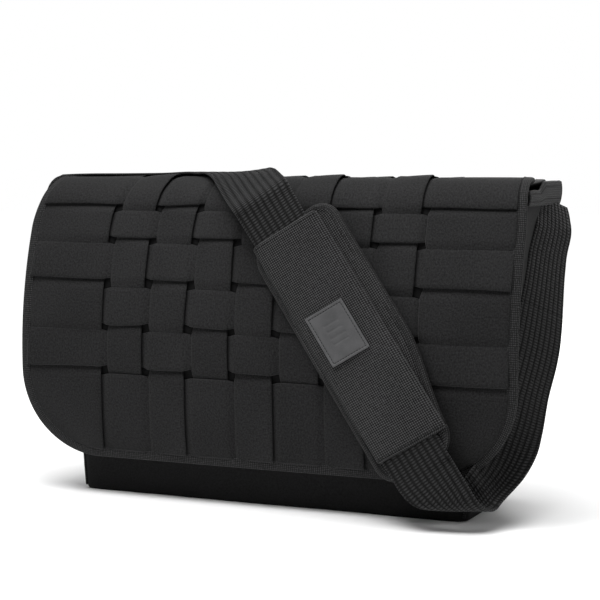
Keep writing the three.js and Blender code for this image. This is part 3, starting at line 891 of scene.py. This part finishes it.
def across_strip(row):
    """A strip from one side tape to the other."""
    columns = range(NARROW_COLUMNS + 2)
    levels = [1.0 if across_is_over(row, column) else 0.0 for column in columns]
    start, stop = ROW_STARTS[row], row_end(row)
    middle = np.array([(start + stop) / 2])
    spans = [tuple(float(side[0]) for side in column_span(column, middle)) for column in columns]
    spans[0] = (-FLAP_HALF, spans[0][1])
    spans[-1] = (spans[-1][0], FLAP_HALF)
    drift, turn = rng.normal(0, 0.6), rng.normal(0, 0.004)
    last = row == ROW_COUNT - 1

    def point(u, v):
        along = start + (stop - start) * u
        edge = flap_edge(along, BINDING - TAPE_OVERLAP)
        x = (2 * v - 1) * edge
        state = strip_state(levels, spans, x)
        wander = 0.7 * waves(x, 0 * x, 24, 200 + row)
        flare = 1.7 * state + 0.4 * wander
        if last:
            along = along + (1 - u) * (drift - flare + wander)
        else:
            along = along + drift + turn * x + wander + flare * (2 * u - 1)
        return on_flap(x, np.maximum(along, FLAP_START), strip_height(u, state, last))

    us = lines(16 if last else 9, 0.02)
    vs = lines(210, 0.002)
    name = f"weave_strip_across_{row + 1}"
    piece = sheet(name, point, us, vs, 1.0, STRIP, "flap", (stop - start, 2 * FLAP_HALF))
    stands_for(name)
    cut_size(point)


def binding_path(inset, height):
    """A line round the flap's free edges, with the directions inwards and up from the cloth."""
    straight = np.linspace(FLAP_START, FLAP_LENGTH - FLAP_CORNER, 120)
    turn = np.linspace(0, math.pi / 2, 30)[1:]
    bottom = np.linspace(1, -1, 60)[1:-1] * (FLAP_HALF - FLAP_CORNER)
    right = [(float(flap_edge(s)), s, 0.0) for s in straight]
    corner = [(FLAP_HALF - FLAP_CORNER + FLAP_CORNER * math.cos(a),
               FLAP_LENGTH - FLAP_CORNER + FLAP_CORNER * math.sin(a), a) for a in turn]
    left = [(-x, s, math.pi - a) for x, s, a in (right + corner)[::-1]]
    base = [(x, FLAP_LENGTH, math.pi / 2) for x in bottom]
    stations = np.array(right + corner + base + left)
    x, along, angle = stations.T
    place = lambda inward, up: on_flap(
        x - inward * np.cos(angle), np.minimum(along - inward * np.sin(angle), FLAP_LENGTH), up)
    path = place(inset, height)
    return path, unit(place(inset + 1, height) - path), unit(place(inset, height + 1) - path)


def flap_binding():
    """Tape folded over the flap's free edges, with a row of stitches along it."""
    path, inward, up = binding_path(0.0, 0.4)
    section = []
    for k in range(20):
        angle = 2 * math.pi * k / 20
        a = math.copysign(abs(math.cos(angle)) ** 0.5, math.cos(angle)) * 4.3
        b = math.copysign(abs(math.sin(angle)) ** 0.6, math.sin(angle)) * 1.75
        section.append((4.3 + a, 0.35 + b))
    piece = tube("flap_binding", path, (inward, up), section, TAPE, "flap")
    stands_for("flap_binding")
    seam, _, out = binding_path(6.9, 0.4 + 1.95)
    stitches("flap_binding_stitches", seam, out, "flap", pitch=4.2, length=2.4, radius=0.42)


def hook_patches():
    """The hook halves of the fastener, inside the flap."""
    for name, low, high in (("left", -95, -45), ("right", 45, 95)):
        def point(u, v, low=low, high=high):
            along = FLAP_LENGTH - 82 + 48 * v
            return on_flap(low + (high - low) * u, along, -2.5)
        piece = sheet(f"hook_patch_{name}", point, lines(12, 0.02), lines(12, 0.02), 1.2, HOOKS,
                      "flap", (50, 48))
        stands_for(f"hook_patch_{name}")


# ---------------------------------------------------------------- strap

slope = unit(np.array([0, -PAD_TILT, -1.0]))
PAD_ALONG = np.array([math.sin(PAD_TURN), 0, 0]) + slope * math.cos(PAD_TURN)
PAD_ACROSS = np.array([math.cos(PAD_TURN), 0, 0]) - slope * math.sin(PAD_TURN)
PAD_OUT = np.cross(PAD_ALONG, PAD_ACROSS)


def on_pad(across, along, out):
    return (PAD_CENTRE + np.asarray(across)[..., None] * PAD_ACROSS
            + np.asarray(along)[..., None] * PAD_ALONG + np.asarray(out)[..., None] * PAD_OUT)


def strap_route():
    """Stations of the webbing: its centre line and its width direction, end to end."""
    left = [
        (-217, 40, 252), (-219, 40, 234), (-225.5, 40, 211), (-235, 40.5, 196), (-245, 40, 193),
        (-256, 38.5, 202), (-257.5, 38.2, 218), (-254.5, 38.2, 234), (-251.5, 38, 250),
    ]
    lid = [
        ((-246, 33, 256), (0.1, 1, 0)), ((-236, 21, 263.5), (0.2, 1, 0)),
        ((-223, 12, 269), (0.2, 1, 0)), ((-208, 8, 270.3), (0.2, 1, 0)),
        ((-190, 6, 270), (0.2, 1, 0)),
        ((-150, 5, 270), (0.25, 1, 0)), ((-105, 2, 270.5), (0.45, 0.9, 0)),
        ((-72, -8, 272), (0.75, 0.66, 0)), ((-57, -16, 272.5), (0.8, 0.6, 0.1)),
        ((-44, -26, 273), (0.81, 0.5, 0.25)), ((-33, -36, 272), (0.81, 0.41, 0.41)),
        ((-22, -48, 268), (0.81, 0.3, 0.5)), ((-8, -64, 261), (0.81, 0.2, 0.54)),
    ]
    front = [(on_pad(0, a, 0), PAD_ACROSS) for a in (-138, -128, -60, 0, 60, 110, ROLL_START)]
    leg = [
        ((202.5, -54, 48), (0.84, 0.30, -0.42)), ((207, -38, 72), (0.66, 0.66, -0.26)),
        ((209.5, -25, 98), (0.52, 0.84, -0.12)), ((214, -8, 136), (0.5, 0.86, -0.05)),
        ((214.5, 7, 172), (0.42, 0.9, 0)), ((214.5, 20, 207), (0.33, 0.94, 0)),
        ((216, 29, 228), (0.3, 0.95, 0)), ((214.5, 34, 240), (0.25, 0.97, 0)),
        ((212.5, 37, 250), (0.15, 0.99, 0)),
    ]
    return [(p, (0, 1, 0)) for p in left] + lid + front, leg


def ruled_strip(stations, rows, across):
    """Rows of points across a strip whose rulings are straight."""
    centre = catmull([p for p, _ in stations], rows * 3, 0.5)
    width = catmull([w for _, w in stations], rows * 3, 0.0)
    along = unit(np.gradient(centre, axis=0))
    width = unit(width - (width * along).sum(1)[:, None] * along)
    length = travel(centre)
    even = np.linspace(0, length[-1], rows)
    centre, width = pick(even, length, centre), unit(pick(even, length, width))
    return centre[:, None] + across[None, :, None] * width[:, None]


def roll_under(across, along):
    """Below the pad the webbing keeps its line, but rolls under and comes up behind itself."""
    flat = on_pad(across, along, np.zeros(np.broadcast(across, along).shape))
    radius = np.interp(flat[..., 0], [140, 205], [8, 15])
    axis = ROLL_LOW + radius
    past = axis - flat[..., 2]
    angle = np.clip(past / radius, 0, math.pi)
    beyond = np.maximum(past - math.pi * radius, 0)
    height = np.where(past > 0, axis - radius * np.sin(angle) + beyond, flat[..., 2])
    depth = radius * (1 - np.cos(angle))
    turn = np.clip(flat[..., 0] - 150, 0, None)
    left_edge = np.clip((15 - across) / 40, 0, 1)
    x = flat[..., 0] - 0.0012 * turn ** 2 - depth * turn * 0.004
    x = x + 13 * smooth((along - ROLL_START) / 40) * left_edge
    y = flat[..., 1] + depth + 0.0028 * turn ** 2
    return np.stack([x, y, height], -1)


def clear_of_flap(points, clearance):
    """Push points that are near the flap out to a clearance above its surface."""
    flat = points.reshape(-1, 3).copy()
    depth = np.broadcast_to(clearance, points.shape[:-1]).reshape(-1)
    sample = curve[::6]
    normal = curve_normal[::6]
    offset = flat[:, None, 1:] - sample[None]
    distance = np.linalg.norm(offset, axis=2)
    nearest = distance.argmin(1)
    rows = np.arange(len(flat))
    height = (offset[rows, nearest] * normal[nearest]).sum(1)
    near = (distance[rows, nearest] < 9) & (np.abs(flat[:, 0]) < FLAP_HALF + 3)
    lift = np.where(near, np.maximum(depth - height, 0), 0)
    flat[:, 1:] += normal[nearest] * lift[:, None]
    return flat.reshape(points.shape)


def webbing_surface(across):
    """Rows of points down the whole strap: over the lid, down the front, under and up the side."""
    first, leg = strap_route()
    upper = ruled_strip(first, UPPER_ROWS, across)
    rolled = np.arange(ROLL_START, ROLL_END, 1.6)[1:]
    under = roll_under(across[None, :], rolled[:, None])
    start = under[-1]
    middle = start[len(across) // 2]
    width = unit(start[-1] - start[0])
    before = under[-8][len(across) // 2]
    lower = ruled_strip([(before, width), (middle, width)] + leg, 130, across)
    gap = np.linalg.norm(middle - before)
    travelled = np.cumsum(np.linalg.norm(np.diff(lower[:, len(across) // 2], axis=0), axis=1))
    lower = lower[1:][travelled > gap + 1.0]
    reach = 45
    share = smooth(np.arange(len(lower)) / reach)[:, None, None]
    offset = start - (middle + across[:, None] * width)
    lower = lower + offset * (1 - share)
    return np.concatenate([upper, under, lower])


def webbing():
    """The strap, in three closed pieces: the part that moves, and an end at each anchor."""
    edge = WEBBING_WIDTH / 2
    across = np.concatenate([[-edge, -24.6], np.linspace(-24.2, 24.2, 65), [24.6, edge]])
    middle = webbing_surface(across)
    rows = len(middle)
    length = travel(middle[:, len(across) // 2])
    out = unit(np.cross(np.gradient(middle, axis=0), np.gradient(middle, axis=1)))
    ridge = 0.25 * np.abs(np.sin(np.pi * across / (WEBBING_WIDTH / WEBBING_RIBS))) ** 0.5
    half = np.where(np.abs(across) > 24.9, 0, 0.75) + np.where(np.abs(across) > 24.3, 0, ridge)
    front_part = np.arange(rows) < UPPER_ROWS

    def face(side):
        """One face of the webbing, kept clear of the weave wherever it lies on the flap."""
        points = middle + side * half[None, :, None] * out
        level = OVER_WEAVE + side * half[None, :] + 0 * middle[..., 0]
        return np.where(front_part[:, None, None], clear_of_flap(points, level), points)

    front, back = face(1), face(-1)
    ring = np.concatenate([front, back[:, 1:-1][:, ::-1]], axis=1)
    side = np.concatenate([across, across[1:-1][::-1]])
    heights = middle[:, len(across) // 2, 2]
    loop_bottom = int(np.argmin(heights[:LOOP_ROWS]))
    knee = rows - int(np.argmax(heights[::-1] < END_HEIGHT)) - 1
    main = webbing_piece("shoulder_webbing", ring, side, length, loop_bottom, knee, "strap")
    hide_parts("shoulder_webbing")
    left = webbing_piece("webbing_end_left", ring, side, length, 0, loop_bottom, None)
    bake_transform(left)
    right = webbing_piece("webbing_end_right", ring, side, length, knee, rows - 1, None)
    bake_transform(right)


def webbing_piece(name, ring, side, length, first, last, body):
    """A closed stretch of the webbing between two of its rows."""
    part = ring[first:last + 1]
    count, around = part.shape[:2]
    index, _, quads = ring_faces(count, around)
    faces = quads[:, ::-1].tolist()
    faces.append(index[0].tolist())
    faces.append(index[-1][::-1].tolist())
    uv = np.zeros((count, around, 2))
    uv[..., 0] = side[None]
    uv[..., 1] = length[first:last + 1, None]
    piece = make_object(name, part.reshape(-1, 3), faces, WEBBING, body, uv.reshape(-1, 2))
    return piece


def rounded_rectangle(half_width, half_length, radius):
    """Points evenly spaced round a rounded rectangle, with the directions inwards."""
    points, inward = [], []
    corners = [(1, 1, 0), (-1, 1, 1), (-1, -1, 2), (1, -1, 3)]
    for sx, sy, quarter in corners:
        for step in range(13):
            angle = (quarter + step / 12) * math.pi / 2
            c, s = math.cos(angle), math.sin(angle)
            points.append((sx * (half_width - radius) + radius * c,
                           sy * (half_length - radius) + radius * s))
            inward.append((-c, -s))
    points.append(points[0])
    inward.append(inward[0])
    points, inward = np.array(points), np.array(inward)
    length = travel(points)
    even = np.linspace(0, length[-1], 160)
    return pick(even, length, points), unit(pick(even, length, inward))


def pad_outline(half_width, half_length, radius):
    """The half width of a rounded pad at a distance along it."""
    def width(along):
        past = np.clip(np.abs(along) - (half_length - radius), 0, radius)
        return half_width - radius + np.sqrt(np.maximum(radius ** 2 - past ** 2, 0))
    return width


def on_base(across, along, out):
    """A point of the padded base: its right edge draws in towards the lower end."""
    drawn = 14 * smooth((along - 10) / 90) * smooth((across + 10) / 50)
    sunk = 1.6 * smooth((-along - 80) / 25)
    return on_pad(across + PAD_SHIFT[0] + 1.5 - drawn, along + PAD_SHIFT[1], out - sunk)


def pad_base():
    """The padded base, a little wider than its cover."""
    outline = pad_outline(PAD_HALF_WIDTH, PAD_HALF_LENGTH, 18)

    def point(u, v):
        along = (2 * v - 1) * PAD_HALF_LENGTH
        x = (2 * u - 1) * outline(along)
        quilt = 0.5 * waves(x, along, 16, 40)
        return on_base(x, along, np.full(u.shape, -4.9) + quilt)

    us, vs = lines(18, 0.03), lines(56, 0.01)
    size = (2 * PAD_HALF_WIDTH, 2 * PAD_HALF_LENGTH)
    base = sheet("pad_base", point, us, vs, 5.6, CANVAS, "shoulder_pad", size)
    stands_for("pad_base")


def pad_binding():
    """Tape folded over the base's edge, with a row of stitches along it."""
    at, turn = rounded_rectangle(PAD_HALF_WIDTH, PAD_HALF_LENGTH, 18)
    place = lambda inward, out: on_base(
        at[:, 0] + inward * turn[:, 0], at[:, 1] + inward * turn[:, 1], np.full(len(at), out))
    path = place(0.0, -4.9)
    inward = unit(place(1.0, -4.9) - path)
    up = unit(place(0.0, -3.9) - path)
    section = []
    for k in range(14):
        angle = 2 * math.pi * k / 14
        section.append((3.0 + 3.3 * math.cos(angle), 3.0 * math.sin(angle)))
    ring = tube("pad_binding", path, (inward, up), section, TAPE, "shoulder_pad")
    stands_for("pad_binding")
    stitches("pad_binding_stitches", place(5.6, -2.0), up, "shoulder_pad", pitch=3.0,
             length=2.0, radius=0.3)


def on_cover(across, along, out):
    """A point of the cover, whose short edges lean with the strap."""
    middle = (COVER_LEFT + COVER_RIGHT) / 2
    lean = 0.08 * across
    return on_pad(across + middle, along + COVER_SHIFT + lean, out)


def pad_cover():
    """The canvas cover, with stitches along its four sides."""
    half_width = (COVER_RIGHT - COVER_LEFT) / 2
    outline = pad_outline(half_width, COVER_HALF_LENGTH, 3)

    def point(u, v):
        along = (2 * v - 1) * COVER_HALF_LENGTH
        x = (2 * u - 1) * outline(along)
        crown = 1.2 * (np.sin(np.pi * u) * np.sin(np.pi * v)) ** 0.35
        drop = 1.6 * smooth((np.abs(x) - half_width + 6) / 6)
        return on_cover(x, along, 1.7 + crown - drop + 0.35 * waves(x, along, 14, 41))

    us, vs = lines(26, 0.02), lines(70, 0.008)
    size = (2 * half_width, 2 * COVER_HALF_LENGTH)
    cover = sheet("pad_cover", point, us, vs, 2.0, CANVAS, "shoulder_pad", size)
    stands_for("pad_cover")
    for side in (-1, 1):
        along = np.linspace(3 - COVER_HALF_LENGTH, COVER_HALF_LENGTH - 3, 120)
        x = np.full(120, side * (half_width - 3.2))
        path = on_cover(x, along, np.full(120, 2.2))
        stitches(f"pad_cover_stitches_{side}", path, PAD_OUT, "shoulder_pad", pitch=3.0, length=2.1)
        x = np.linspace(2 - half_width, half_width - 2, 60)
        path = on_cover(x, np.full(60, side * (COVER_HALF_LENGTH - 3)), np.full(60, 2.9))
        stitches(f"pad_cover_end_stitches_{side}", path, PAD_OUT, "shoulder_pad",
                 pitch=3.0, length=2.1)


def strap_patch():
    """A stitched leather patch with a raised rim and a plain pattern of pressed bars."""
    width, length = 2 * PATCH_HALF_WIDTH, 2 * PATCH_HALF_LENGTH

    def on_patch(across, along, out):
        return on_pad(across - 1, along - 9 + 0.08 * across, out)

    def point(u, v):
        x = (2 * u - 1) * PATCH_HALF_WIDTH
        along = (2 * v - 1) * PATCH_HALF_LENGTH
        rim = np.minimum(np.minimum(u, 1 - u) * width, np.minimum(v, 1 - v) * length)
        raised = 0.5 * np.exp(-((rim - 0.9) / 0.6) ** 2) - 0.5 * np.exp(-((rim - 2.3) / 0.6) ** 2)
        inside = (np.abs(x) < 7) & (np.abs(along) < 11)
        pressed = 0.55 * (np.sin(along * math.pi / 2.75) > 0.2) * inside
        return on_patch(x, along, 4.6 + raised - pressed)

    patch = sheet("strap_patch", point, lines(56, 0.012), lines(72, 0.01), 1.4, LEATHER,
                  "shoulder_pad", (width, length))
    stands_for("strap_patch")
    x, y = PATCH_HALF_WIDTH - 2.3, PATCH_HALF_LENGTH - 2.3
    corners = [(-x, -y), (x, -y), (x, y), (-x, y), (-x, -y)]
    path = np.vstack([np.linspace(a, b, 30) for a, b in zip(corners, corners[1:])])
    ring = on_patch(path[:, 0], path[:, 1], np.full(len(path), 4.9))
    stitches("strap_patch_stitches", ring, PAD_OUT, "shoulder_pad", pitch=2.6, length=1.8,
             radius=0.26)


# ---------------------------------------------------------------- stage

def soft_light(name, location, size, power):
    """A square light that faces the middle of the bag."""
    light = bpy.data.lights.new(name, "AREA")
    light.size = size
    light.energy = power
    lamp = bpy.data.objects.new(name, light)
    lamp.location = location
    aim = Vector((0.0, -0.05, 0.18)) - lamp.location
    lamp.rotation_euler = aim.to_track_quat("-Z", "Y").to_euler()
    bpy.context.scene.collection.objects.link(lamp)


def stage():
    """A pale floor and soft studio lights."""
    mesh = bpy.data.meshes.new("floor")
    mesh.from_pydata([(-6, -6, 0), (6, -6, 0), (6, 9, 0), (-6, 9, 0)], [], [(0, 1, 2, 3)])
    floor = bpy.data.objects.new("floor", mesh)
    bpy.context.scene.collection.objects.link(floor)
    paper = Nodes("floor_paper", (0.93, 0.93, 0.93), 0.9, specular=0.1)
    source, _ = paper.coordinates(False)
    tone = paper.ramp(paper.noise(source, 40.0), [(0.0, (0.92,) * 3), (1.0, (0.94,) * 3)])
    paper.link(tone, paper.shader.inputs["Base Color"])
    mesh.materials.append(paper.material)
    world = bpy.data.worlds.new("studio")
    world.use_nodes = True
    tree = world.node_tree
    background = tree.nodes["Background"]
    background.inputs["Color"].default_value = (1, 1, 1, 1)
    seen = tree.nodes.new("ShaderNodeLightPath").outputs["Is Camera Ray"]
    strength = tree.nodes.new("ShaderNodeMath")
    strength.operation = "MULTIPLY_ADD"
    strength.inputs[1].default_value = 1 - AMBIENT
    strength.inputs[2].default_value = AMBIENT
    tree.links.new(seen, strength.inputs[0])
    tree.links.new(strength.outputs[0], background.inputs["Strength"])
    bpy.context.scene.world = world
    sun = bpy.data.lights.new("overhead", "SUN")
    sun.energy = 3.35
    sun.angle = math.radians(58)
    overhead = bpy.data.objects.new("overhead", sun)
    overhead.rotation_euler = (math.radians(8), math.radians(-1), 0)
    bpy.context.scene.collection.objects.link(overhead)
    soft_light("key", (-0.1, -0.42, 0.78), 0.4, 3.1)
    soft_light("fill", (0.1, 1.5, 1.0), 1.2, 14)
    bpy.context.scene.view_settings.view_transform = "Standard"


bag_shell()
corner_seams()
lining()
hems()
rear_yoke()
inner_pieces()
front_pocket()
zip_fastener()
flap_backing()
for column in range(NARROW_COLUMNS + 2):
    down_strip(column)
for row in range(ROW_COUNT):
    across_strip(row)
flap_binding()
hook_patches()
webbing()
pad_base()
pad_binding()
pad_cover()
strap_patch()
stage()
